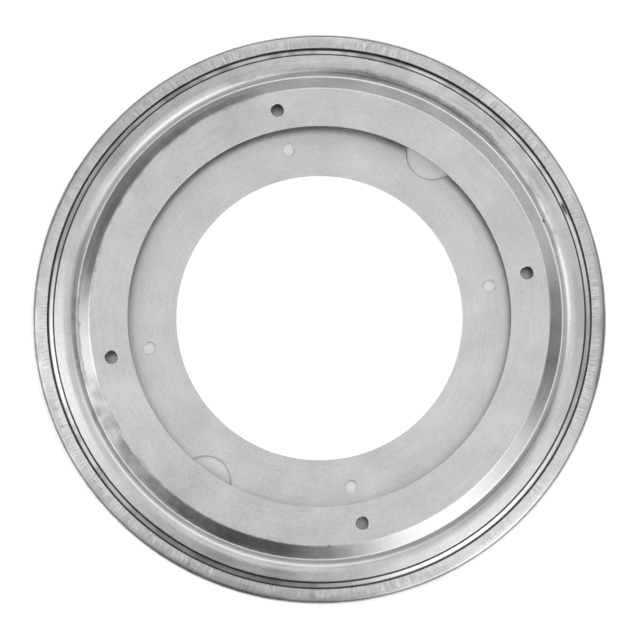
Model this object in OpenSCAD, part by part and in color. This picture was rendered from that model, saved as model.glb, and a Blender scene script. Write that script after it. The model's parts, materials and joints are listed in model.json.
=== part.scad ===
// Flat lazy susan turntable bearing.
// Two pressed sheet-steel ring plates turn on one ring of balls. The lower plate's rim is rolled over
// the upper plate's flange, so the two can't come apart.
// The origin is on the turning axis, at the underside of the lower plate. Units are millimetres.

/* [Plates] */
// Outer diameter of the rolled rim
outer_d = 228.6; // [220:0.1:240]
// Height from the lower plate's underside to the upper plate's top
overall_h = 8.5; // [8.3:0.1:9.5]
// Thickness of the sheet that both plates are pressed from
sheet_t = 1; // [0.8:0.05:1.1]
// Bore of the lower plate
lower_bore_d = 114.3; // [90:0.1:120]
// Opening in the upper plate
upper_bore_d = 152.4; // [145:0.1:155]
// Turn of the upper plate against the lower one at rest, in degrees
upper_turn = 1.1; // [0:0.1:90]

/* [Screw and access holes] */
// Diameter of every screw hole
screw_hole_d = 5; // [3:0.1:6]
// Screw holes in each plate
screw_count = 4; // [3:1:8]
// Circle of the lower plate's screw holes
lower_pcd = 138; // [132:0.5:142]
// Circle of the upper plate's screw holes
upper_pcd = 168.5; // [164:0.5:172]
// Diameter of the two holes that a screwdriver reaches the upper screws through
access_hole_d = 20.6; // [12:0.1:20.8]
// Distance of the access holes from the axis
access_hole_r = 80; // [79:0.1:80.5]

/* [Ball race] */
// Diameter of the circle that the ball centres lie on
race_d = 202.8; // [202:0.1:203.5]
// Diameter of one ball
ball_d = 3.97; // [3.6:0.01:4]
// Number of balls
ball_count = 24; // [12:1:40]
// Free space between a ball and each race
ball_play = 0.05; // [0.03:0.01:0.1]

/* [Ball retainer] */
// Thickness of the retainer ring
retainer_t = 0.5; // [0.3:0.1:0.8]
// Width of the retainer ring
retainer_w = 6; // [5.5:0.1:6.2]
// Free space around a ball in its pocket
pocket_play = 0.12; // [0.1:0.01:0.2]

/* [Pressed shape] */
// Radius where the flat face of a plate turns down into its slope
flat_r = 91.4; // [90.6:0.1:92]
// Radius of the crease at the foot of the slope
crease_r = 96.7; // [96:0.1:97]
// Drop from a plate's flat face to its crease
crease_drop = 2.5; // [2.3:0.1:2.6]
// Radius of the foot of the upper plate's raised race
foot_r = 98.3; // [98:0.1:98.5]
// Radius of the step down from the raised race to the flange
step_r = 105.4; // [105:0.1:105.6]
// Top of the flange at the step
flange_z = 6; // [5.9:0.05:6]
// Fall of the flange to its outer edge
flange_fall = 1.5; // [1.2:0.05:1.6]
// Outer radius of the flange
flange_r = 109.9; // [109.5:0.1:110.1]
// Inner radius of the rolled lip
lip_r = 108.3; // [107.5:0.1:109]
// Top of the rolled lip
lip_z = 6.5; // [6.45:0.05:6.6]
// Fall of the lip from its edge to the rolled rim
lip_fall = 0.5; // [0.3:0.05:0.5]
// Underside of the lower plate beyond its race
rim_underside_z = 1.9; // [1.7:0.05:1.9]

/* [Hidden] */
$fn = 96;
half_t = sheet_t / 2;
mid_z = overall_h / 2;
outer_r = outer_d / 2;
race_r = race_d / 2;
ball_r = ball_d / 2;
// Distance of a race's centre line from mid_z, and of the corner that the lower plate's bend is cut from
race_gap = ball_r + ball_play + half_t;
race_bend = 9;
race_turn = 36.5;
race_corner = race_gap + race_bend * (1 / cos(race_turn / 2) - 1);
// The upper plate's race: its bend, its slopes inwards and outwards, and the corner between them
bead_bend = 5;
slope_in = 25;
slope_out = 8;
bead_reach = bead_bend / cos((slope_in + slope_out) / 2);
bead_r = race_r + bead_reach * sin((slope_out - slope_in) / 2);
bead_z = mid_z + race_gap - bead_bend + bead_reach * cos((slope_out - slope_in) / 2);
// Bend radii, measured on the sheet's centre line
flat_bend = 2.2;
crease_bend = 1.4;
foot_bend = 1.2;
step_bend = 0.3;
rim_bend = 1.5;
// Smallest radius left inside a tight bend, and the turn that one chord of a bend covers
inside_bend = 0.12;
chord_angle = 6;
cut_over = 1;
ball_step = 360 / ball_count;
access_turn = 180 / screw_count;

// Centre line of each plate as [radius, height, bend radius], from its bore outwards
lower_line = [
    [lower_bore_d / 2, half_t, 0],
    [flat_r, half_t, flat_bend],
    [crease_r, half_t + crease_drop, crease_bend],
    [race_r, mid_z - race_corner, race_bend],
    [step_r, rim_underside_z + half_t, race_bend / 2],
    [outer_r - half_t, rim_underside_z + half_t, rim_bend],
    [outer_r - half_t, lip_z - lip_fall - half_t, rim_bend],
    [lip_r, lip_z - half_t, 0]
];
upper_line = [
    [upper_bore_d / 2, overall_h - half_t, 0],
    [flat_r, overall_h - half_t, flat_bend],
    [crease_r, overall_h - half_t - crease_drop, crease_bend],
    [foot_r, bead_z - (bead_r - foot_r) * tan(slope_in), foot_bend],
    [bead_r, bead_z, bead_bend],
    [step_r, bead_z - (step_r - bead_r) * tan(slope_out), step_bend],
    [step_r, flange_z - half_t, step_bend],
    [flange_r, flange_z - flange_fall - half_t, 0]
];

function ball_name(i) = str("ball_", i < 9 ? "0" : "", i + 1);

// Left-hand unit normal of the line from a to b
function left_of(a, b) = [a.y - b.y, b.x - a.x] / norm(b - a);
function xy(p) = [p.x, p.y];

// Corner i of a bent line, moved sideways by d
function moved(line, i, d) =
    let (
        last = len(line) - 1,
        before = left_of(xy(line[max(i - 1, 0)]), xy(line[max(i, 1)])),
        after = left_of(xy(line[min(i, last - 1)]), xy(line[min(i + 1, last)]))
    )
    xy(line[i]) + d * (before + after) / (1 + before * after);

// Points of the bend of radius bend at corner b, between the corners a and c
function bend_points(a, b, c, bend) =
    let (
        u = (a - b) / norm(a - b),
        v = (c - b) / norm(c - b),
        half = acos(u * v) / 2,
        centre = b + (u + v) / norm(u + v) * bend / sin(half),
        from = b + u * bend / tan(half) - centre,
        side = cross(u, v) > 0 ? -1 : 1,
        steps = max(1, ceil((180 - 2 * half) / chord_angle))
    )
    [for (k = [0 : steps])
        let (turn = side * (180 - 2 * half) * k / steps)
        centre + [from.x * cos(turn) - from.y * sin(turn), from.x * sin(turn) + from.y * cos(turn)]];

// One face of the sheet: the centre line moved by d, with each corner bent
function sheet_face(line, d) =
    let (
        last = len(line) - 1,
        corners = [for (i = [0 : last]) moved(line, i, d)]
    )
    [for (i = [0 : last])
        let (
            turn = i > 0 && i < last ? cross(xy(line[i]) - xy(line[i - 1]), xy(line[i + 1]) - xy(line[i])) : 0,
            bend = max(inside_bend, line[i][2] - sign(turn) * d)
        )
        each turn == 0 ? [corners[i]] : bend_points(corners[i - 1], corners[i], corners[i + 1], bend)];

function reversed(list) = [for (i = [len(list) - 1 : -1 : 0]) list[i]];

// A ring of constant thickness with the given centre line
module pressed_ring(line) {
    rotate_extrude() polygon(concat(sheet_face(line, -half_t), reversed(sheet_face(line, half_t))));
}

// Cylinders that punch a ring of holes, on a circle of radius r
module punches(r, d, count, from_z) {
    for (i = [0 : count - 1])
        rotate(i * 360 / count)
            translate([r, 0, from_z - cut_over])
                cylinder(d = d, h = sheet_t + 2 * cut_over);
}

module lower_plate() {
    color("lightgray")
        difference() {
            pressed_ring(lower_line);
            punches(lower_pcd / 2, screw_hole_d, screw_count, 0);
            rotate(access_turn) punches(access_hole_r, access_hole_d, 2, 0);
        }
}

module upper_plate() {
    color("silver")
        rotate(upper_turn)
            difference() {
                pressed_ring(upper_line);
                punches(upper_pcd / 2, screw_hole_d, screw_count, overall_h - sheet_t);
            }
}

// Flat ring that keeps the balls evenly spaced
module ball_retainer() {
    pocket_r = ball_r + pocket_play;
    color("dimgray")
        difference() {
            translate([0, 0, mid_z - retainer_t / 2])
                rotate_extrude() translate([race_r - retainer_w / 2, 0]) square([retainer_w, retainer_t]);
            for (i = [0 : ball_count - 1])
                at_ball(i) translate([0, 0, -cut_over]) cylinder(r = pocket_r, h = 2 * cut_over);
        }
}

module at_ball(i) {
    rotate(i * ball_step) translate([race_r, 0, mid_z]) children();
}

module ball(i) {
    color("gainsboro") at_ball(i) sphere(r = ball_r);
}

lower_plate();
upper_plate();
ball_retainer();
for (i = [0 : ball_count - 1])
    ball(i);
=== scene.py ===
"""Looks of a flat lazy susan turntable bearing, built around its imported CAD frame.

Both plates are one sheet section turned about the Z axis, with the screw and access holes punched
through it. Lengths are in metres, and the origin is on the turning axis at the lower plate's underside.
"""

import json
import math

import bpy
import numpy as np
from bpy.props import FloatProperty, FloatVectorProperty, IntProperty, PointerProperty
from bpy.types import Operator, Panel, PropertyGroup
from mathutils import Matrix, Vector


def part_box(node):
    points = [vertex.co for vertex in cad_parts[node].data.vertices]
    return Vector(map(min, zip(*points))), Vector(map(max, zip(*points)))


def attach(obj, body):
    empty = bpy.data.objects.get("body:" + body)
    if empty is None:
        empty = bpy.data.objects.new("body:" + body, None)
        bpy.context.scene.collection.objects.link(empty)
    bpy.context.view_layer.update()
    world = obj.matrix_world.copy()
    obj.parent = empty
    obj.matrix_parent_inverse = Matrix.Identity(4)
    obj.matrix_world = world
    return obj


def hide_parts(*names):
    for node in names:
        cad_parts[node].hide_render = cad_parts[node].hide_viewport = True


bl_info = {
    "name": "Turntable bearing",
    "version": (1, 0, 0),
    "blender": (4, 5, 0),
    "location": "View3D > Sidebar > Turntable",
    "description": "Makes the plates, balls, retainer and studio of a lazy susan bearing",
    "category": "Object",
}

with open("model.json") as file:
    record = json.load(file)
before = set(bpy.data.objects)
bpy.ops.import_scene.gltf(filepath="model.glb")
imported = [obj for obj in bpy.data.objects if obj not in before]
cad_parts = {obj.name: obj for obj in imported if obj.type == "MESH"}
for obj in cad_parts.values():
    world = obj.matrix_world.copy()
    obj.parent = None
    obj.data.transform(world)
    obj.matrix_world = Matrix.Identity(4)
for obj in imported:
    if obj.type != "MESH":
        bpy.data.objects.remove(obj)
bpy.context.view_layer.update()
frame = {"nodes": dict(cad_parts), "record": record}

MM = 0.001
LOWER, UPPER, RETAINER = "lower_plate", "upper_plate", "ball_retainer"
BALLS = sorted(name for name in frame["nodes"] if name.startswith("ball_") and name != RETAINER)


def mount_dims(name):
    """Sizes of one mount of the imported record, in millimetres."""
    return next(m for m in frame["record"]["mounts"] if m["name"] == name)["dims"]


def reach(node):
    """Radius of the circle round the Z axis that touches a node's box from inside."""
    low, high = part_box(node)
    return min(high.x, high.y, -low.x, -low.y)


LIP_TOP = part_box(LOWER)[1].z
UPPER_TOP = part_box(UPPER)[1].z
BALL_LOW, BALL_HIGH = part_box(BALLS[0])
MID_Z = (BALL_LOW.z + BALL_HIGH.z) / 2
BALL_RADIUS = (BALL_HIGH.z - BALL_LOW.z) / 2
RACE_RADIUS = (BALL_LOW.x + BALL_HIGH.x) / 2


# ---------------------------------------------------------------- settings


def length(name, text, default):
    """A length property in metres."""
    return FloatProperty(
        name=name, description=text, default=default, min=0, subtype="DISTANCE", unit="LENGTH"
    )


def angle(name, text, degrees):
    """An angle property, with its default in degrees."""
    return FloatProperty(name=name, description=text, default=math.radians(degrees), subtype="ANGLE")


def colour(name, text, default):
    """A linear colour property."""
    return FloatVectorProperty(
        name=name, description=text, default=default, min=0, max=1, size=3, subtype="COLOR"
    )


class PressedShape(PropertyGroup):
    """The section that both plates are pressed to."""

    sheet: length("Sheet", "Thickness of the sheet", 1.0 * MM)
    flat_radius: length("Flat radius", "Where the flat face turns down into the slope", 91.4 * MM)
    crease_radius: length("Crease radius", "Radius of the crease at the slope's foot", 96.7 * MM)
    crease_drop: length("Crease drop", "Drop from the flat face to the crease", 2.5 * MM)
    ball_play: length("Ball play", "Free space between a ball and each race", 0.05 * MM)
    step_radius: length("Step radius", "Radius of the step from the race to the flange", 105.4 * MM)
    cut_edge: length("Cut edge", "Rounding of a punched edge", 0.14 * MM)


class LowerPlateSizes(PropertyGroup):
    """The lower plate's own sizes."""

    bore_radius: length("Bore radius", "Radius of the large bore", 57.15 * MM)
    rim_underside: length("Rim underside", "Height of the underside beyond the race", 1.9 * MM)
    lip_radius: length("Lip radius", "Inner radius of the rolled lip", 108.3 * MM)
    rim_bend: length("Rim bend", "Bend radius of the rolled rim, on the sheet's centre line", 1.5 * MM)
    access_radius: length("Access hole radius", "Radius of an access hole", 10.3 * MM)
    access_circle: length("Access hole circle", "Distance of the access holes from the axis", 80.0 * MM)
    lip_fall: length("Lip fall", "Fall of the lip from its edge to the rolled rim", 0.5 * MM)
    crimp_depth: length("Crimp depth", "Depth of the deepest crimp mark on the lip", 0.06 * MM)
    crown: length("Crown", "Extra fall of the lip's outer part, where the roller pressed it", 0.12 * MM)


class UpperPlateSizes(PropertyGroup):
    """The upper plate's own sizes."""

    bore_radius: length("Opening radius", "Radius of the upper opening", 76.2 * MM)
    foot_radius: length("Race foot", "Radius where the raised race begins", 98.3 * MM)
    slope_in: angle("Race slope in", "Slope of the race's inner side", 25)
    slope_out: angle("Race slope out", "Slope of the race's outer side", 8)
    flange_top: length("Flange top", "Height of the flange's top at the step", 6.0 * MM)
    flange_fall: length("Flange fall", "Fall of the flange to its outer edge", 1.5 * MM)
    flange_radius: length("Flange radius", "Outer radius of the flange", 109.9 * MM)
    turn: angle("Turn", "Turn against the lower plate at rest", 1.1)


class Finish(PropertyGroup):
    """Colours of the bare metals."""

    sheet_colour: colour("Sheet", "Galvanised sheet", (0.70, 0.70, 0.705))
    # this colour also paints shade in hollows, under the upper plate and under the lip
    smudge_colour: colour("Smudge", "Press oil and grime left in the hollows", (0.10, 0.10, 0.10))
    # this colour also paints highlights on the upper crease and on the cut edges of the bore and the
    # opening
    burnish_colour: colour("Burnish", "Sheet rubbed bright on its creases", (0.90, 0.90, 0.90))
    sheet_roughness: FloatProperty(
        name="Sheet roughness",
        description="Roughness of the clean sheet",
        default=0.36,
        min=0,
        max=1,
        subtype="FACTOR",
    )
    strip_colour: colour("Retainer", "Plain steel strip", (0.40, 0.40, 0.41))
    ball_colour: colour("Balls", "Polished ball steel", (0.72, 0.72, 0.74))
    floor_colour: colour("Floor", "Pale studio floor", (0.92, 0.92, 0.92))


class StudioSetup(PropertyGroup):
    """Camera and lights."""

    azimuth: angle("Azimuth", "Camera azimuth: 0 looks along +Y", -10.45)
    elevation: angle("Elevation", "Camera height over the horizon", 83.29)
    distance: length("Distance", "Camera distance from its target", 1.1)
    lens: FloatProperty(
        name="Lens", description="Focal length", default=155.3, min=10, subtype="DISTANCE_CAMERA"
    )
    fill: FloatProperty(name="Fill", description="Brightness of the even surround", default=0.02, min=0)


class TurntableSettings(PropertyGroup):
    """Everything a user may change."""

    shape: PointerProperty(type=PressedShape)
    lower: PointerProperty(type=LowerPlateSizes)
    upper: PointerProperty(type=UpperPlateSizes)
    finish: PointerProperty(type=Finish)
    studio: PointerProperty(type=StudioSetup)
    columns: IntProperty(name="Columns", description="Steps round the axis", default=576, min=90)


# ---------------------------------------------------------------- sheet sections

# Bend radii on the sheet's centre line.
RACE_BEND = 9 * MM
FLAT_BEND = 1.0 * MM
CREASE_BEND = 1.4 * MM
FOOT_BEND = 1.2 * MM
BEAD_BEND = 5 * MM
STEP_BEND = 0.3 * MM
# Least radius that a bend keeps on its inner face.
TIGHTEST_BEND = 0.12 * MM
# Farthest that a bend's straight steps lie from its true arc.
ARC_ERROR = 0.012 * MM
FEWEST_STEPS = 3
# Angle that the sheet turns through over the lower race's bend.
RACE_TURN = math.radians(36.5)


def unit(arrow):
    """An arrow over its own length."""
    return arrow / np.linalg.norm(arrow)


def race_corner(shape):
    """Distance from the middle plane to the corner that a race's bend is cut from."""
    gap = BALL_RADIUS + shape.ball_play + shape.sheet / 2
    return gap + RACE_BEND * (1 / math.cos(RACE_TURN / 2) - 1)


def bead_corner(shape, upper):
    """Radius and height of the corner that the upper race's bend is cut from.

    The bend's circle tops out over the balls, and both slopes touch it: they meet at the circle's radius
    over the cosine of half the turn, in the direction midway between the two normals.
    """
    reach_out = BEAD_BEND / math.cos((upper.slope_in + upper.slope_out) / 2)
    lean = (upper.slope_out - upper.slope_in) / 2
    centre = MID_Z + BALL_RADIUS + shape.ball_play + shape.sheet / 2 - BEAD_BEND
    return RACE_RADIUS + reach_out * math.sin(lean), centre + reach_out * math.cos(lean)


def bend_arc(before, corner, after, bend):
    """Arc of radius bend, tangent to both sides of a corner, as an array of points.

    The arc's centre is on the line that halves the corner, at the radius over the sine of half the
    corner's angle, and the arc starts at the radius over that half angle's tangent from the corner.
    """
    back, on = unit(before - corner), unit(after - corner)
    half = math.acos(np.clip(back @ on, -1, 1)) / 2
    centre = corner + unit(back + on) * bend / math.sin(half)
    start = corner + back * bend / math.tan(half) - centre
    side = -1 if back[0] * on[1] > back[1] * on[0] else 1
    step = 2 * math.acos(1 - ARC_ERROR / max(bend, 2 * ARC_ERROR))
    steps = max(FEWEST_STEPS, math.ceil((math.pi - 2 * half) / step))
    turn = side * (math.pi - 2 * half) * np.linspace(0, 1, steps + 1)
    x = start[0] * np.cos(turn) - start[1] * np.sin(turn)
    z = start[0] * np.sin(turn) + start[1] * np.cos(turn)
    return centre + np.stack([x, z], axis=1)


def sheet_corners(line, shift):
    """Corners of a sheet's face: its centre line moved sideways by shift, with each bend's own radius.

    line has rows of radius, height and bend. A corner moves along the mean of its two normals, made
    longer so that both sides keep their distance.
    """
    line = np.array(line)
    points, bends = line[:, :2], line[:, 2]
    along = np.diff(points, axis=0)
    along /= np.linalg.norm(along, axis=1)[:, None]
    normal = np.stack([-along[:, 1], along[:, 0]], axis=1)
    before = np.vstack([normal[:1], normal])
    after = np.vstack([normal, normal[-1:]])
    moved = points + shift * (before + after) / (1 + np.sum(before * after, axis=1))[:, None]
    turn = np.zeros(len(points))
    turn[1:-1] = along[:-1, 0] * along[1:, 1] - along[:-1, 1] * along[1:, 0]
    return moved, np.maximum(TIGHTEST_BEND, bends - np.sign(turn) * shift)


def sheet_section(line, shape, stations):
    """Closed outline of a bent sheet, from its underside to its top side, with every corner rounded.

    stations are rows of radius, lowest and highest height: a straight stretch gets a point at each radius,
    so that both faces of a level part share their rows.
    """
    half = shape.sheet / 2
    under, under_bends = sheet_corners(line, -half)
    top, top_bends = sheet_corners(line, half)
    corners = np.vstack([under, top[::-1]])
    bends = np.concatenate([under_bends, top_bends[::-1]])
    ends = [0, len(under) - 1, len(under), len(corners) - 1]
    bends[ends] = shape.cut_edge
    arcs = [
        bend_arc(corners[i - 1], corners[i], corners[(i + 1) % len(corners)], bends[i])
        for i in range(len(corners))
    ]
    return with_stations(np.vstack(arcs), stations)


def level_stations(radii, low=-1.0, high=1.0):
    """Stations at some radii, in millimetres, for the stretches between two heights."""
    return np.array([(r * MM, low, high) for r in radii])


def with_stations(outline, stations):
    """Adds points to an outline's long stretches: at each station's radius, and beside each bend."""
    support, long_stretch = 0.06 * MM, 0.6 * MM
    rows = []
    for start, end in zip(outline, np.roll(outline, -1, axis=0)):
        rows.append(start[None])
        span = np.linalg.norm(end - start)
        if span < long_stretch:
            continue
        near = support / span
        share = [near, 1 - near]
        if abs(end[0] - start[0]) > support:
            here = stations[(stations[:, 1] <= start[1]) & (start[1] <= stations[:, 2]), 0]
            at = (here - start[0]) / (end[0] - start[0])
            share += list(at[(at > 2 * near) & (at < 1 - 2 * near)])
        rows.append(start + np.array(sorted(share))[:, None] * (end - start))
    return np.vstack(rows)


# ---------------------------------------------------------------- punched rings

# Points this close to a face's height lie on it.
LEVEL_ERROR = 1e-7
# Ring of level sheet round a hole's rolled edge, in widths of that edge, and the burr on its far side.
COLLAR = 1.5
BURR = 0.25
# Room beside a hole along its circle, in margins.
SIDE_ROOM = 1.3


def face_rows(section, height, low, high):
    """Rows of a section that lie on the level face at that height, between two radii, by rising radius."""
    level = np.abs(section[:, 1] - height) < LEVEL_ERROR
    rows = np.flatnonzero(level & (section[:, 0] > low) & (section[:, 0] < high))
    return rows[np.argsort(section[rows, 0])]


def window_loop(rows, columns):
    """The (row, column) pairs round a window of the grid, going once about it."""
    low, high = rows[0], rows[-1]
    first, last = columns[0], columns[-1]
    return (
        [(low, c) for c in columns[:-1]]
        + [(r, last) for r in rows[:-1]]
        + [(high, c) for c in columns[:0:-1]]
        + [(r, first) for r in rows[:0:-1]]
    )


def hole_rings(top, bottom, radius, roll):
    """Rings of a punched hole as (radius, height): rolled where the punch went in, sharp where it came out.

    Each edge is a quarter circle: the roll above and the much smaller burr below.
    """
    burr = BURR * roll
    quarter = np.linspace(0, math.pi / 2, 5)
    rolled = [(radius + roll * (1 - math.sin(a)), top - roll * (1 - math.cos(a))) for a in quarter]
    sharp = [(radius + burr * (1 - math.cos(a)), bottom + burr * (1 - math.sin(a))) for a in quarter[::2]]
    collar = radius + COLLAR * roll
    return [(collar, top), *rolled, *sharp, (collar, bottom)]


def punched_ring(section, columns, faces, holes, relief=None):
    """Vertices and quads of a section turned about Z, with round holes punched through its level part.

    The surface is a grid over the section's rows and the azimuth's columns: radius times the azimuth's
    cosine and sine, and the height. faces are the heights of the level part's top and underside. Each
    hole is (circle, azimuth, radius, roll, margin) and cuts a window out of both faces, wider than itself
    by the margin. Rings of points lead from the upper window over the hole's wall to the lower one.
    relief may move the grid's points before the holes are cut.
    """
    rows = len(section)
    azimuth = np.arange(columns) * 2 * math.pi / columns
    radius = np.repeat(section[:, :1], columns, axis=1)
    height = np.repeat(section[:, 1:], columns, axis=1)
    if relief:
        radius, height = relief(radius, height)
    grid = np.stack([radius * np.cos(azimuth), radius * np.sin(azimuth), height], axis=2)
    grid = grid.reshape(-1, 3)
    kept = np.ones((rows, columns), dtype=bool)
    vertices, quads = [grid], []
    count = len(grid)
    for circle, at, size, roll, margin in holes:
        half_width = math.asin((size + SIDE_ROOM * margin) / circle)
        first = math.floor((at - half_width) * columns / (2 * math.pi))
        last = math.ceil((at + half_width) * columns / (2 * math.pi))
        window_columns = np.arange(first, last + 1)
        reach_in, reach_out = circle - size - margin, circle + size + margin
        loops = []
        for face in faces:
            level = face_rows(section, face, 0, 1)
            first_row = np.searchsorted(section[level, 0], reach_in) - 1
            last_row = np.searchsorted(section[level, 0], reach_out)
            span = level[first_row : last_row + 1]
            cells = np.arange(min(span[0], span[-1]), max(span[0], span[-1]))
            kept[np.ix_(cells, window_columns[:-1] % columns)] = False
            loop = window_loop(span, window_columns)
            loops.append(np.array([row * columns + column % columns for row, column in loop]))
        around = len(loops[0])
        centre = circle * np.array([math.cos(at), math.sin(at)])
        spoke = grid[loops[0], :2] - centre
        turn = np.arctan2(spoke[:, 1], spoke[:, 0])
        rings = np.array(hole_rings(*faces, size, roll))
        points = np.stack(
            [
                centre[0] + rings[:, :1] * np.cos(turn),
                centre[1] + rings[:, :1] * np.sin(turn),
                np.repeat(rings[:, 1:], around, axis=1),
            ],
            axis=2,
        ).reshape(-1, 3)
        index = count + np.arange(len(points)).reshape(len(rings), around)
        index = np.vstack([loops[0], index, loops[1]])
        step = np.roll(index, -1, axis=1)
        quads.append(np.stack([index[:-1], index[1:], step[1:], step[:-1]], axis=2).reshape(-1, 4))
        vertices.append(points)
        count += len(points)
    cell_row, cell_column = np.nonzero(kept)
    next_row, next_column = (cell_row + 1) % rows, (cell_column + 1) % columns
    quads.append(
        np.stack(
            [
                cell_row * columns + cell_column,
                cell_row * columns + next_column,
                next_row * columns + next_column,
                next_row * columns + cell_column,
            ],
            axis=1,
        )
    )
    return np.vstack(vertices), np.vstack(quads)


def make_piece(name, vertices, quads, material):
    """Makes a smooth object at the origin from arrays, and drops the points that no face uses."""
    used, quads = np.unique(quads, return_inverse=True)
    quads = quads.reshape(-1, 4)
    mesh = bpy.data.meshes.new(name)
    mesh.vertices.add(len(used))
    mesh.vertices.foreach_set("co", vertices[used].astype(np.float32).ravel())
    mesh.loops.add(quads.size)
    mesh.loops.foreach_set("vertex_index", quads.astype(np.int32).ravel())
    mesh.polygons.add(len(quads))
    mesh.polygons.foreach_set("loop_start", np.arange(0, quads.size, 4, dtype=np.int32))
    mesh.polygons.foreach_set("use_smooth", np.ones(len(quads), dtype=bool))
    mesh.update(calc_edges=True)
    mesh.validate()
    mesh.materials.append(material)
    piece = bpy.data.objects.new(name, mesh)
    bpy.context.scene.collection.objects.link(piece)
    return piece


def even_holes(circle, count, radius, roll, margin, turn=0.0):
    """Equal holes, evenly spaced on a circle."""
    return [(circle, turn + 2 * math.pi * i / count, radius, roll, margin) for i in range(count)]


# ---------------------------------------------------------------- lip relief

# Zones of the lip, as distances inwards from the plate's outer edge.
ROLL_START = 2.3 * MM
CROWN_START = 3.9 * MM
CROWN_END = 1.3 * MM
DENTS_END = 4.2 * MM
EDGE_END = 3.8 * MM
# Depth below the lip's top in which the sheet counts as its upper face.
LIP_LAYER = 1.2 * MM
# Half of how far the cut edge wanders.
EDGE_WANDER = 0.07 * MM


def ring_noise(columns, feature, seed):
    """Smooth random values round the axis, repeating after a full turn, from -1 to 1.

    feature is the size of a bump in columns: random values lose their high harmonics.
    """
    values = np.random.default_rng(seed).normal(size=columns)
    harmonic = np.fft.rfftfreq(columns)
    fade = np.exp(-((harmonic * feature * 2) ** 2))
    rounded = np.fft.irfft(np.fft.rfft(values) * fade, columns)
    rounded -= rounded.mean()
    return rounded / np.abs(rounded).max()


def smooth(value, low, high):
    """Rises smoothly from 0 at low to 1 at high."""
    share = np.clip((value - low) / (high - low), 0, 1)
    return share * share * (3 - 2 * share)


def lip_relief(lower, columns):
    """A function that presses the lip as a crimping roller does.

    Random dents round the axis sink its inner part, its outer part falls away towards the roll, and its
    cut edge is a little uneven.
    """
    marks = 0.55 * ring_noise(columns, 1.6, 11) + 0.45 * ring_noise(columns, 5, 12)
    swell = ring_noise(columns, 45, 13)
    edge = 0.6 * ring_noise(columns, 8, 14) + 0.4 * ring_noise(columns, 40, 15)
    rim_middle = (lower.rim_underside + LIP_TOP - lower.lip_fall) / 2
    rim = reach(LOWER)

    def relief(radius, height):
        above = smooth(height, rim_middle, LIP_TOP)
        face = LIP_TOP - LIP_LAYER - lower.lip_fall * smooth(radius, lower.lip_radius, rim - ROLL_START)
        on_top = height > face
        inner_part = 1 - smooth(radius, rim - DENTS_END, rim - ROLL_START)
        dents = lower.crimp_depth * smooth(marks + 0.4 * swell, -0.3, 0.7)
        fall = lower.crown * smooth(radius, rim - CROWN_START, rim - CROWN_END)
        uneven = EDGE_WANDER * (1 + edge) * (1 - smooth(radius, lower.lip_radius, rim - EDGE_END))
        return radius + on_top * uneven, height - on_top * inner_part * dents - above * fall

    return relief


# ---------------------------------------------------------------- node helpers


def put(tree, kind, inputs=None, **settings):
    """Adds a node. inputs maps a socket's name or number to a value or to another node's output."""
    node = tree.nodes.new(kind)
    for key, value in settings.items():
        setattr(node, key, value)
    for key, value in (inputs or {}).items():
        if isinstance(value, bpy.types.NodeSocket):
            tree.links.new(value, node.inputs[key])
        else:
            node.inputs[key].default_value = value
    return node


def calc(tree, operation, *terms, clamp=False):
    """A math node's result."""
    node = put(tree, "ShaderNodeMath", dict(enumerate(terms)), operation=operation, use_clamp=clamp)
    return node.outputs[0]


def times(tree, *terms):
    """Two values' product."""
    return calc(tree, "MULTIPLY", *terms)


def times_add(tree, value, factor, added):
    """A value times a factor, plus another value."""
    return calc(tree, "MULTIPLY_ADD", value, factor, added)


def vector(tree, operation, *terms, **named):
    """A vector math node's result: a value for a length or a dot product, or else a vector."""
    inputs = {**dict(enumerate(terms)), **named}
    node = put(tree, "ShaderNodeVectorMath", inputs, operation=operation)
    return node.outputs["Value" if operation in ("LENGTH", "DOT_PRODUCT") else "Vector"]


def turned_about_z(tree, place, turn):
    """A vector turned about Z by an angle."""
    inputs = {"Vector": place, "Angle": turn}
    return put(tree, "ShaderNodeVectorRotate", inputs, rotation_type="Z_AXIS").outputs[0]


def point(tree, x=0.0, y=0.0, z=0.0):
    """A vector put together from its three values."""
    return put(tree, "ShaderNodeCombineXYZ", {0: x, 1: y, 2: z}).outputs[0]


def ramp(tree, value, low, high, out_low=0.0, out_high=1.0):
    """value taken smoothly from the range low..high to out_low..out_high."""
    inputs = {"Value": value, "From Min": low, "From Max": high, "To Min": out_low, "To Max": out_high}
    return put(tree, "ShaderNodeMapRange", inputs, interpolation_type="SMOOTHSTEP").outputs["Result"]


def noise(tree, place, scale, detail, rough):
    """A noise texture's value at a place."""
    inputs = {"Vector": place, "Scale": scale, "Detail": detail, "Roughness": rough}
    return put(tree, "ShaderNodeTexNoise", inputs, noise_dimensions="3D").outputs["Fac"]


def mixed(tree, amount, first, second):
    """Two colours mixed by an amount."""
    node = put(tree, "ShaderNodeMix", data_type="RGBA")
    for number, value in ((0, amount), (6, first), (7, second)):
        if isinstance(value, bpy.types.NodeSocket):
            tree.links.new(value, node.inputs[number])
        else:
            node.inputs[number].default_value = value
    return node.outputs[2]


def new_group(name, inputs, outputs):
    """An empty shader node group with named sockets: (tree, its inputs, the output node)."""
    tree = bpy.data.node_groups.new(name, "ShaderNodeTree")
    for socket, kind, default in inputs:
        made = tree.interface.new_socket(name=socket, in_out="INPUT", socket_type="NodeSocket" + kind)
        if default is not None:
            made.default_value = default
    for socket, kind in outputs:
        tree.interface.new_socket(name=socket, in_out="OUTPUT", socket_type="NodeSocket" + kind)
    return tree, tree.nodes.new("NodeGroupInput").outputs, tree.nodes.new("NodeGroupOutput")


def group(build):
    """The node group that a builder makes, built once."""
    return bpy.data.node_groups.get(build.__name__) or build(build.__name__)


def use(tree, build, inputs=None):
    """Places a node group in a tree and returns its outputs."""
    return put(tree, "ShaderNodeGroup", inputs, node_tree=group(build)).outputs


# ---------------------------------------------------------------- shared effects


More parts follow.
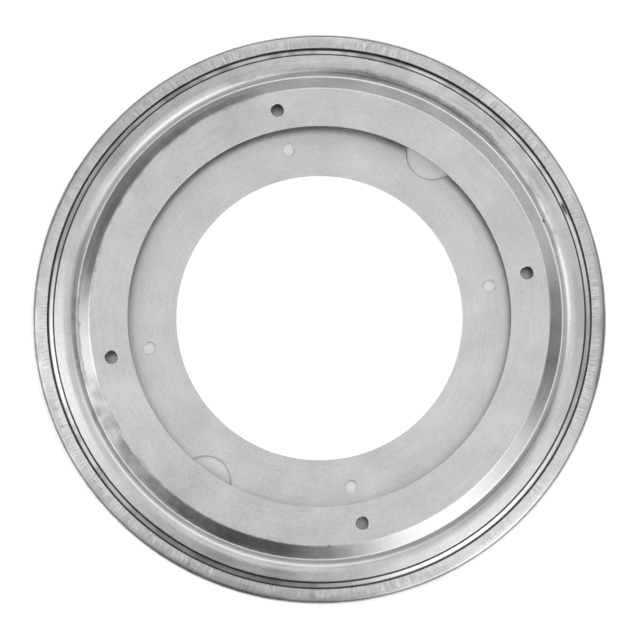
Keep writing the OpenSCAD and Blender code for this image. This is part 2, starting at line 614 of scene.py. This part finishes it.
def ring_place(name):
    """Where a point is on a turned piece: its radius in millimetres and its direction from the axis."""
    results = [("Radius", "Float"), ("Direction", "Vector")]
    tree, given, result = new_group(name, [("Vector", "Vector", None)], results)
    parts = put(tree, "ShaderNodeSeparateXYZ", {0: given["Vector"]}).outputs
    flat = point(tree, parts[0], parts[1])
    tree.links.new(times(tree, vector(tree, "LENGTH", flat), 1 / MM), result.inputs["Radius"])
    tree.links.new(vector(tree, "NORMALIZE", flat), result.inputs["Direction"])
    return tree


def ring_band(name):
    """A mask of the ring between two radii, with soft edges."""
    sockets = [("Radius", "Float", 0), ("From", "Float", 0), ("To", "Float", 1), ("Soft", "Float", 0.5)]
    tree, given, result = new_group(name, sockets, [("Mask", "Float")])
    start = calc(tree, "SUBTRACT", given["From"], given["Soft"])
    end = calc(tree, "ADD", given["To"], given["Soft"])
    rise = ramp(tree, given["Radius"], start, given["From"])
    fall = ramp(tree, given["Radius"], given["To"], end)
    tree.links.new(times(tree, rise, calc(tree, "SUBTRACT", 1.0, fall)), result.inputs["Mask"])
    return tree


def polar_place(tree, given, spread, rise):
    """Noise coordinates on a turned piece: its direction times spread, and its radius times rise."""
    outwards = point(tree, z=times(tree, given["Radius"], rise))
    return vector(tree, "ADD", vector(tree, "SCALE", given["Direction"], Scale=spread), outwards)


def sheet_grain(name):
    """Galvanised sheet: cloudy tone, fine pits, and faint lines round the axis left by pressing."""
    sockets = [("Vector", "Vector", None), ("Radius", "Float", 0), ("Direction", "Vector", None)]
    tree, given, result = new_group(name, sockets, [("Tone", "Float"), ("Height", "Float")])
    clouds = noise(tree, given["Vector"], 55, 3, 0.55)
    speckle = noise(tree, given["Vector"], 900, 3, 0.65)
    lines = noise(tree, polar_place(tree, given, 5.0, 2.6), 1.0, 2, 0.6)
    fine_tone = times_add(tree, speckle, 0.35, times(tree, lines, 0.3))
    tone = times_add(tree, clouds, 0.5, fine_tone)
    mean_tone = 0.575
    tree.links.new(calc(tree, "SUBTRACT", tone, mean_tone), result.inputs["Tone"])
    tree.links.new(times_add(tree, speckle, 0.6, times(tree, lines, 0.4)), result.inputs["Height"])
    return tree


def radial_streaks(name):
    """Fine lines that run out from the axis, as a crimping roller leaves them."""
    sockets = [("Radius", "Float", 0), ("Direction", "Vector", None), ("Fineness", "Float", 100.0)]
    tree, given, result = new_group(name, sockets, [("Value", "Float")])
    fine = noise(tree, polar_place(tree, given, given["Fineness"], 0.22), 1.0, 2, 0.6)
    tree.links.new(ramp(tree, fine, 0.35, 0.68), result.inputs["Value"])
    return tree


def side_mask(name):
    """A mask of one side of a turned piece: 1 towards an azimuth, 0 beyond a given angle from it."""
    sockets = [("Direction", "Vector", None), ("Azimuth", "Float", 0.0), ("Spread", "Float", 0.5)]
    tree, given, result = new_group(name, sockets, [("Mask", "Float")])
    x, y = calc(tree, "COSINE", given["Azimuth"]), calc(tree, "SINE", given["Azimuth"])
    near = vector(tree, "DOT_PRODUCT", given["Direction"], point(tree, x, y))
    edge = calc(tree, "COSINE", given["Spread"])
    full = times_add(tree, edge, 0.4, 0.6)
    tree.links.new(ramp(tree, near, edge, full), result.inputs["Mask"])
    return tree


def rough_band(name):
    """A darker ring with ragged edges and bare patches."""
    sockets = [("Vector", "Vector", None), ("Radius", "Float", 0), ("From", "Float", 0), ("To", "Float", 1)]
    tree, given, result = new_group(name, sockets, [("Mask", "Float")])
    ragged = times_add(tree, noise(tree, given["Vector"], 260, 3, 0.7), 3.0, -1.5)
    ring = band(tree, calc(tree, "ADD", given["Radius"], ragged), given["From"], given["To"], 0.9)
    patches = ramp(tree, noise(tree, given["Vector"], 75, 2, 0.6), 0.38, 0.6, 0.3, 1.0)
    tree.links.new(times(tree, ring, patches), result.inputs["Mask"])
    return tree


def handling_mark(name):
    """One small mark on a turned piece: an oval with a ragged outline, at a radius and an azimuth."""
    sockets = [("Vector", "Vector", None), ("Azimuth", "Float", 0.0), ("At", "Float", 100.0)]
    sockets += [("Along", "Float", 2.0), ("Across", "Float", 1.0)]
    tree, given, result = new_group(name, sockets, [("Mask", "Float")])
    turned = turned_about_z(tree, given["Vector"], times(tree, given["Azimuth"], -1.0))
    parts = put(tree, "ShaderNodeSeparateXYZ", {0: turned}).outputs
    beyond = calc(tree, "SUBTRACT", times(tree, parts[0], 1 / MM), given["At"])
    out = calc(tree, "DIVIDE", beyond, given["Across"])
    along = calc(tree, "DIVIDE", times(tree, parts[1], 1 / MM), given["Along"])
    apart = calc(tree, "ADD", times(tree, out, out), times(tree, along, along))
    ragged = times_add(tree, noise(tree, given["Vector"], 1400, 2, 0.7), 1.6, apart)
    tree.links.new(ramp(tree, ragged, 1.1, 1.8, 1.0, 0.0), result.inputs["Mask"])
    return tree


def scuffs(name):
    """Sparse scratches and rubbed spots."""
    results = [("Scratch", "Float"), ("Rub", "Float")]
    tree, given, result = new_group(name, [("Vector", "Vector", None)], results)
    bent = noise(tree, given["Vector"], 30, 1, 0.5)
    turned = turned_about_z(tree, given["Vector"], 0.7)
    squeezed = put(tree, "ShaderNodeMapping", {"Vector": turned, "Scale": (900, 35, 35)}).outputs[0]
    scratches = noise(tree, vector(tree, "ADD", squeezed, bent), 1.0, 1, 0.4)
    rubs = noise(tree, given["Vector"], 120, 4, 0.7)
    tree.links.new(ramp(tree, scratches, 0.70, 0.76), result.inputs["Scratch"])
    tree.links.new(ramp(tree, rubs, 0.60, 0.75), result.inputs["Rub"])
    return tree


# ---------------------------------------------------------------- materials


def rgba(value):
    """A colour with full alpha."""
    return (*value, 1.0)


def band(tree, radius, low, high, soft):
    """The mask of a ring between two radii."""
    return use(tree, ring_band, {"Radius": radius, "From": low, "To": high, "Soft": soft})["Mask"]


def material_start(name):
    """An empty node material: (material, tree, Principled BSDF, Object coordinates)."""
    material = bpy.data.materials.new(name)
    material.use_nodes = True
    tree = material.node_tree
    tree.nodes.clear()
    surface = tree.nodes.new("ShaderNodeBsdfPrincipled")
    output = tree.nodes.new("ShaderNodeOutputMaterial")
    tree.links.new(surface.outputs["BSDF"], output.inputs["Surface"])
    return material, tree, surface, tree.nodes.new("ShaderNodeTexCoord").outputs["Object"]


def bare_metal(tree, surface, tone, rough, height=None, strength=0.0, depth=0.0):
    """Makes a surface metal, with its colour, its roughness, and a bump of a strength and depth."""
    tree.links.new(tone, surface.inputs["Base Color"])
    tree.links.new(rough, surface.inputs["Roughness"])
    surface.inputs["Metallic"].default_value = 1.0
    if height:
        bump = put(tree, "ShaderNodeBump", {"Height": height, "Strength": strength, "Distance": depth})
        tree.links.new(bump.outputs[0], surface.inputs["Normal"])


def grain_of(tree, place, ring):
    """The sheet's grain at a place on a turned piece."""
    inputs = {"Vector": place, "Radius": ring["Radius"], "Direction": ring["Direction"]}
    return use(tree, sheet_grain, inputs)


def shade(tree, look, mask, colour_to, rough_by):
    """Moves a look's colour towards another where a mask is, and its roughness by an amount."""
    look["colour"] = mixed(tree, mask, look["colour"], rgba(colour_to))
    look["rough"] = times_add(tree, mask, rough_by, look["rough"])


def crimp(tree, look, ring, zone, finish):
    """Radial press marks in a zone of the sheet: bright streaks that stand up, and thin dark ones."""
    patches = ramp(tree, noise(tree, ring["Direction"], 4.0, 2, 0.6), 0.36, 0.56, 0.15, 1.0)
    zone = times(tree, zone, patches)

    def streaks(fineness, share):
        inputs = {"Radius": ring["Radius"], "Direction": ring["Direction"], "Fineness": fineness}
        return times(tree, times(tree, zone, share), use(tree, radial_streaks, inputs)["Value"])

    for fineness, share in ((170, 0.75), (75, 0.45)):
        pressed = streaks(fineness, share)
        shade(tree, look, pressed, finish.burnish_colour, 0.06)
        look["height"] = times_add(tree, pressed, 1.4, look["height"])
    shade(tree, look, streaks(210, 0.3), finish.smudge_colour, 0.0)


def sheet_material(name, finish, rings, dark_side_bands, marks, crimped=None):
    """Galvanised sheet with its press marks and wear, painted highlights on its crease and cut edges,
    painted shade in its hollows, and darker bands on given sides.

    rings are (from, to, soft, strength, colour, roughness change). grime are (from, to, azimuth, spread,
    strength) with ragged edges, and marks are (azimuth, radius, along, across, strength). crimped is the
    ring (from, to, soft) that carries radial press marks. Lengths are in millimetres, angles in degrees.
    """
    material, tree, surface, place = material_start(name)
    ring = use(tree, ring_place, {"Vector": place})
    grain = grain_of(tree, place, ring)
    wear = use(tree, scuffs, {"Vector": place})
    tone = calc(tree, "MULTIPLY_ADD", grain["Tone"], 2.2, 0.5, clamp=True)
    pale = rgba([min(1, c * 1.22) for c in finish.sheet_colour])
    deep = rgba([c * 0.78 for c in finish.sheet_colour])
    look = {
        "colour": mixed(tree, tone, deep, pale),
        "rough": times_add(tree, grain["Tone"], 0.25, finish.sheet_roughness),
        "height": times(tree, grain["Height"], 0.35),
    }
    # rings of painted shade, painted highlights and grease
    for low, high, soft, strength, colour_to, rough_by in rings:
        mask = times(tree, band(tree, ring["Radius"], low, high, soft), strength)
        shade(tree, look, mask, colour_to, rough_by)
    # darker ragged bands on given sides; on the upper flange these are painted shade under the lip
    for low, high, azimuth, spread, strength in dark_side_bands:
        inputs = {"Vector": place, "Radius": ring["Radius"], "From": low, "To": high}
        ragged = use(tree, rough_band, inputs)["Mask"]
        side = {"Azimuth": math.radians(azimuth), "Spread": math.radians(spread)}
        here = use(tree, side_mask, {"Direction": ring["Direction"], **side})["Mask"]
        shade(tree, look, times(tree, ragged, times(tree, here, strength)), finish.smudge_colour, 0.1)
    if crimped:
        crimp(tree, look, ring, band(tree, ring["Radius"], *crimped), finish)
    for azimuth, at, along, across, strength in marks:
        oval = {"Azimuth": math.radians(azimuth), "At": at, "Along": along, "Across": across}
        spot = times(tree, use(tree, handling_mark, {"Vector": place, **oval})["Mask"], strength)
        shade(tree, look, spot, finish.smudge_colour, 0.1)
        look["height"] = times_add(tree, spot, -0.6, look["height"])
    shade(tree, look, times(tree, wear["Scratch"], 0.2), finish.burnish_colour, 0.0)
    rough = times_add(tree, wear["Rub"], 0.06, look["rough"])
    bare_metal(tree, surface, look["colour"], rough, look["height"], 0.4, 0.05 * MM)
    return material


def strip_material(finish):
    """Plain cold-rolled strip with a film of grease."""
    material, tree, surface, place = material_start("retainer_strip")
    grain = grain_of(tree, place, use(tree, ring_place, {"Vector": place}))
    film = ramp(tree, noise(tree, place, 140, 3, 0.6), 0.4, 0.65)
    greased = times(tree, film, 0.6)
    tone = mixed(tree, greased, rgba(finish.strip_colour), rgba(finish.smudge_colour))
    rough = times_add(tree, film, -0.14, times_add(tree, grain["Tone"], 0.3, 0.38))
    bare_metal(tree, surface, tone, rough, grain["Height"], 0.3, 0.04 * MM)
    return material


def ball_material(finish):
    """Polished ball steel with faint running marks and a little grease."""
    material, tree, surface, place = material_start("ball_steel")
    lapping = times(tree, noise(tree, place, 2600, 2, 0.6), 0.25)
    film = ramp(tree, noise(tree, place, 420, 3, 0.6), 0.5, 0.72)
    steel = mixed(tree, lapping, rgba(finish.ball_colour), rgba(finish.strip_colour))
    greasy = mixed(tree, times(tree, film, 0.35), steel, rgba(finish.smudge_colour))
    bare_metal(tree, surface, greasy, times_add(tree, film, 0.22, 0.1))
    return material


def floor_material(finish):
    """Pale matt studio paper, lit a little from below as on a light table; under the plates the glow is
    cut, a painted shadow.
    """
    material, tree, surface, place = material_start("studio_paper")
    fibre = times(tree, noise(tree, place, 60, 3, 0.6), 0.04)
    thin = rgba([0.8 * c for c in finish.floor_colour])
    tree.links.new(mixed(tree, fibre, rgba(finish.floor_colour), thin), surface.inputs["Base Color"])
    surface.inputs["Roughness"].default_value = 0.9
    # painted shadow: a ring under the plates glows a tenth as much as the rest
    painted_plate_shadow = band(tree, use(tree, ring_place, {"Vector": place})["Radius"], 60, 108, 3)
    glow = mixed(tree, painted_plate_shadow, rgba([0.5] * 3), rgba([0.05] * 3))
    tree.links.new(glow, surface.inputs["Emission Color"])
    surface.inputs["Emission Strength"].default_value = 1.0
    return material


# ---------------------------------------------------------------- operators

# Rolled edges round the punched holes.
LOWER_ROLL = 0.22 * MM
UPPER_ROLL = 0.3 * MM
ACCESS_ROLL = 0.25 * MM
POCKET_ROLL = 0.08 * MM
# Level sheet, beyond a hole's edge, that its window takes up.
SCREW_MARGIN = 1.6 * MM
ACCESS_MARGIN = 0.42 * MM
POCKET_MARGIN = 0.5 * MM
# Free space between a ball and its pocket, and the strip's own edge radius.
POCKET_PLAY = 0.12 * MM
STRIP_EDGE = 0.12 * MM
# Room below the lip's lowest top for the rows that follow it.
LIP_SLACK = 0.1 * MM


def screw_holes(mount, roll, turn=0.0):
    """The screw holes of one mount, with their rolled edges."""
    dims = mount_dims(mount)
    circle, radius = dims["pcd_mm"] / 2 * MM, dims["hole_r_mm"] * MM
    return even_holes(circle, dims["count"], radius, roll, SCREW_MARGIN, turn)


class TURNTABLE_OT_lower_plate(Operator):
    """Make the lower plate, with its bore, punched holes and rolled, crimped rim"""

    bl_idname = "turntable.lower_plate"
    bl_label = "Lower plate"

    def execute(self, context):
        settings = context.scene.turntable
        shape, lower = settings.shape, settings.lower
        half = shape.sheet / 2
        rim = reach(LOWER) - half
        level = lower.rim_underside + half
        line = [
            (lower.bore_radius, half, 0),
            (shape.flat_radius, half, FLAT_BEND),
            (shape.crease_radius, half + shape.crease_drop, CREASE_BEND),
            (RACE_RADIUS, MID_Z - race_corner(shape), RACE_BEND),
            (shape.step_radius, level, RACE_BEND / 2),
            (rim, level, lower.rim_bend),
            (rim, LIP_TOP - lower.lip_fall - half, lower.rim_bend),
            (lower.lip_radius, LIP_TOP - half, 0),
        ]
        flat_rows = level_stations([64.4, 66.7, 69.0, 71.3, 73.6, 76.5, 80.0, 83.5, 87.2, 90.8])
        lip_foot = LIP_TOP - LIP_SLACK - lower.lip_fall
        lip_rows = level_stations([108.8, 109.4, 110.0, 110.6, 111.2, 111.8], lip_foot)
        section = sheet_section(line, shape, np.vstack([flat_rows, lip_rows]))
        access = (lower.access_circle, 2, lower.access_radius, ACCESS_ROLL, ACCESS_MARGIN, math.pi / 4)
        holes = screw_holes("lower_screws", LOWER_ROLL) + even_holes(*access)
        relief = lip_relief(lower, settings.columns)
        made = punched_ring(section, settings.columns, (shape.sheet, 0.0), holes, relief)
        finish = settings.finish
        rings = [
            # a painted highlight on the bore's edge, painted shade in the hollow under the upper plate, and
            # the grease on the race
            (57.1, 57.3, 0.1, 0.5, finish.burnish_colour, 0.1),
            (80.5, 95.0, 3.0, 0.3, finish.smudge_colour, 0.1),
            (100.4, 102.4, 0.8, 0.5, finish.smudge_colour, -0.1),
        ]
        dark_side_bands = [(110.8, 113.4, 225, 75, 0.4), (112.2, 114.2, 20, 60, 0.25), (109.0, 113.2, 65, 55, 0.22)]
        marks = [(139, 113.4, 1.6, 0.4, 0.6)]
        material = sheet_material("lower_sheet", finish, rings, dark_side_bands, marks, crimped=(108.2, 111.3, 1.1))
        piece = make_piece("lower_plate_sheet", *made, material)
        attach(piece, LOWER)
        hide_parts(LOWER)
        return {"FINISHED"}


class TURNTABLE_OT_upper_plate(Operator):
    """Make the upper plate, with its opening, screw holes, arched race and flange"""

    bl_idname = "turntable.upper_plate"
    bl_label = "Upper plate"

    def execute(self, context):
        settings = context.scene.turntable
        shape, upper = settings.shape, settings.upper
        half = shape.sheet / 2
        flat = UPPER_TOP - half
        bead_radius, bead_height = bead_corner(shape, upper)
        foot_height = bead_height - (bead_radius - upper.foot_radius) * math.tan(upper.slope_in)
        step_height = bead_height - (shape.step_radius - bead_radius) * math.tan(upper.slope_out)
        line = [
            (upper.bore_radius, flat, 0),
            (shape.flat_radius, flat, FLAT_BEND),
            (shape.crease_radius, flat - shape.crease_drop, CREASE_BEND),
            (upper.foot_radius, foot_height, FOOT_BEND),
            (bead_radius, bead_height, BEAD_BEND),
            (shape.step_radius, step_height, STEP_BEND),
            (shape.step_radius, upper.flange_top - half, STEP_BEND),
            (upper.flange_radius, upper.flange_top - upper.flange_fall - half, 0),
        ]
        section = sheet_section(line, shape, level_stations([79.6, 81.9, 84.25, 86.6, 88.9]))
        holes = screw_holes("upper_screws", UPPER_ROLL, upper.turn)
        made = punched_ring(section, settings.columns, (UPPER_TOP, UPPER_TOP - shape.sheet), holes)
        finish = settings.finish
        rings = [
            # painted shade in the race's foot, painted highlights on the crease and the opening's edge, and
            # painted shade in the step's foot and on the flange's edge under the lip
            (97.2, 98.5, 0.5, 0.45, finish.smudge_colour, 0.05),
            (96.55, 96.9, 0.18, 0.95, finish.burnish_colour, 0.05),
            (76.1, 76.35, 0.1, 0.4, finish.burnish_colour, 0.1),
            (105.5, 106.1, 0.2, 0.8, finish.smudge_colour, 0.1),
            (107.8, 110.0, 0.4, 0.85, finish.smudge_colour, 0.1),
        ]
        dark_side_bands = [
            (91.6, 95.2, 220, 40, 0.55),
            (91.4, 94.0, 130, 40, 0.45),
            (98.3, 99.6, 38, 45, 0.45),
            (99.8, 100.8, 80, 25, 0.35),
            (96.0, 97.6, 182, 35, 0.45),
            (102.0, 105.2, 60, 55, 0.22),
            # painted shade on the flange under the lip, darkest on two sides
            (105.9, 108.3, 70, 75, 0.6),
            (105.9, 108.3, 225, 45, 0.5),
        ]
        marks = [
            (13.4, 106.9, 3.0, 0.7, 0.9),
            (12.6, 97.3, 0.9, 0.6, 0.8),
            (262, 91.6, 0.8, 0.7, 0.5),
        ]
        material = sheet_material("upper_sheet", finish, rings, dark_side_bands, marks)
        piece = make_piece("upper_plate_sheet", *made, material)
        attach(piece, UPPER)
        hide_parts(UPPER)
        return {"FINISHED"}


class TURNTABLE_OT_retainer(Operator):
    """Make the thin ring whose pockets keep the balls apart"""

    bl_idname = "turntable.retainer"
    bl_label = "Ball retainer"

    def execute(self, context):
        settings = context.scene.turntable
        low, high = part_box(RETAINER)
        outer = reach(RETAINER)
        inner = 2 * RACE_RADIUS - outer
        corners = np.array([(inner, low.z), (outer, low.z), (outer, high.z), (inner, high.z)])
        arcs = [bend_arc(corners[i - 1], corners[i], corners[(i + 1) % 4], STRIP_EDGE) for i in range(4)]
        size = BALL_RADIUS + POCKET_PLAY
        rows = RACE_RADIUS + (size + POCKET_MARGIN) * np.linspace(-1.02, 1.02, 5)
        section = with_stations(np.vstack(arcs), level_stations(rows / MM))
        pockets = even_holes(RACE_RADIUS, len(BALLS), size, POCKET_ROLL, POCKET_MARGIN)
        made = punched_ring(section, 2 * settings.columns, (high.z, low.z), pockets)
        piece = make_piece("retainer_ring", *made, strip_material(settings.finish))
        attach(piece, "retainer")
        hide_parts(RETAINER)
        return {"FINISHED"}


class TURNTABLE_OT_balls(Operator):
    """Give every ball its polished steel"""

    bl_idname = "turntable.balls"
    bl_label = "Balls"

    def execute(self, context):
        material = ball_material(context.scene.turntable.finish)
        for name in BALLS:
            node = frame["nodes"][name]
            for index in range(max(1, len(node.material_slots))):
                if index < len(node.material_slots):
                    node.material_slots[index].material = material
                else:
                    node.data.materials.append(material)
        return {"FINISHED"}


def direction(azimuth, elevation):
    """Unit vector towards an azimuth, from +X towards +Y, and a height over the horizon, in degrees."""
    a, e = math.radians(azimuth), math.radians(elevation)
    return Vector((math.cos(a) * math.cos(e), math.sin(a) * math.cos(e), math.sin(e)))


def softbox(name, azimuth, elevation, size, brightness):
    """A square softbox that looks at the bearing's middle. Its power is its brightness times its area."""
    data = bpy.data.lights.new(name, "AREA")
    data.size = size
    data.energy = math.pi * size * size * brightness
    light = bpy.data.objects.new(name, data)
    bpy.context.scene.collection.objects.link(light)
    light.location = direction(azimuth, elevation) * LIGHT_DISTANCE
    light.rotation_euler = (-light.location).to_track_quat("-Z", "Y").to_euler()


LIGHT_DISTANCE = 1.2
FLOOR_HALF = 3.0
# What the camera aims at: how far right of the axis and how far in front of it.
AIM_RIGHT = 0.23 * MM
AIM_NEAR = 1.53 * MM
# Softboxes round the bearing: name, azimuth and height in degrees, side in metres, brightness.
SOFTBOXES = (
    ("left", 174, 43, 0.55, 2.4),
    ("left_high", 170, 65, 0.5, 1.6),
    ("front_left", 198, 43, 0.5, 0.8),
    ("front_right", 290, 43, 0.5, 2.5),
    ("front_right_high", 305, 65, 0.5, 1.6),
    ("right", 317, 43, 0.5, 1.5),
    ("back_right", 20, 43, 0.5, 1.65),
    ("back", 50, 43, 0.5, 1.6),
    ("back_left", 80, 43, 0.5, 1.6),
    ("back_far_left", 110, 43, 0.5, 0.8),
    ("top", 50, 79, 0.65, 0.92),
)


class TURNTABLE_OT_studio(Operator):
    """Make the floor, the soft lights and the camera"""

    bl_idname = "turntable.studio"
    bl_label = "Studio"

    def execute(self, context):
        scene = context.scene
        studio = scene.turntable.studio
        far = FLOOR_HALF
        mesh = bpy.data.meshes.new("floor")
        corners = [(-far, -far, 0), (far, -far, 0), (far, far, 0), (-far, far, 0)]
        mesh.from_pydata(corners, [], [(0, 1, 2, 3)])
        mesh.materials.append(floor_material(scene.turntable.finish))
        floor = bpy.data.objects.new("floor", mesh)
        scene.collection.objects.link(floor)

        world = bpy.data.worlds.new("studio_surround")
        world.use_nodes = True
        background = world.node_tree.nodes["Background"]
        background.inputs["Color"].default_value = (1, 1, 1, 1)
        background.inputs["Strength"].default_value = studio.fill
        scene.world = world
        for box in SOFTBOXES:
            softbox(*box)

        camera = bpy.data.objects.new("camera", bpy.data.cameras.new("camera"))
        scene.collection.objects.link(camera)
        camera.data.lens = studio.lens
        camera.data.sensor_width = 36
        camera.data.clip_start = 0.01
        turn = studio.azimuth
        right = Vector((math.cos(turn), math.sin(turn), 0))
        ahead = Vector((-math.sin(turn), math.cos(turn), 0))
        target = right * AIM_RIGHT - ahead * AIM_NEAR + Vector((0, 0, MID_Z))
        sight = ahead * math.cos(studio.elevation) - Vector((0, 0, 1)) * math.sin(studio.elevation)
        camera.location = target - sight * studio.distance
        camera.rotation_euler = (math.pi / 2 - studio.elevation, 0, turn)
        scene.camera = camera
        scene.view_settings.view_transform = "Standard"
        return {"FINISHED"}


class VIEW3D_PT_turntable(Panel):
    """Sidebar panel that lists the pieces and their sizes"""

    bl_label = "Turntable bearing"
    bl_space_type = "VIEW_3D"
    bl_region_type = "UI"
    bl_category = "Turntable"

    def draw(self, context):
        settings = context.scene.turntable
        for operator in OPERATORS:
            self.layout.operator(operator.bl_idname)
        for part in (settings.shape, settings.lower, settings.upper, settings.finish, settings.studio):
            box = self.layout.box()
            for key in part.__annotations__:
                box.prop(part, key)


OPERATORS = (
    TURNTABLE_OT_lower_plate,
    TURNTABLE_OT_upper_plate,
    TURNTABLE_OT_retainer,
    TURNTABLE_OT_balls,
    TURNTABLE_OT_studio,
)
SETTINGS = (PressedShape, LowerPlateSizes, UpperPlateSizes, Finish, StudioSetup, TurntableSettings)


def register():
    """Tells Blender of the settings, operators and panel."""
    for cls in (*SETTINGS, *OPERATORS, VIEW3D_PT_turntable):
        bpy.utils.register_class(cls)
    bpy.types.Scene.turntable = PointerProperty(type=TurntableSettings)


def unregister():
    """Takes them away again, last first."""
    del bpy.types.Scene.turntable
    for cls in reversed((*SETTINGS, *OPERATORS, VIEW3D_PT_turntable)):
        bpy.utils.unregister_class(cls)


def main():
    """Makes every piece in order."""
    register()
    bpy.ops.turntable.lower_plate()
    bpy.ops.turntable.upper_plate()
    bpy.ops.turntable.retainer()
    bpy.ops.turntable.balls()
    bpy.ops.turntable.studio()


if __name__ == "__main__":
    main()
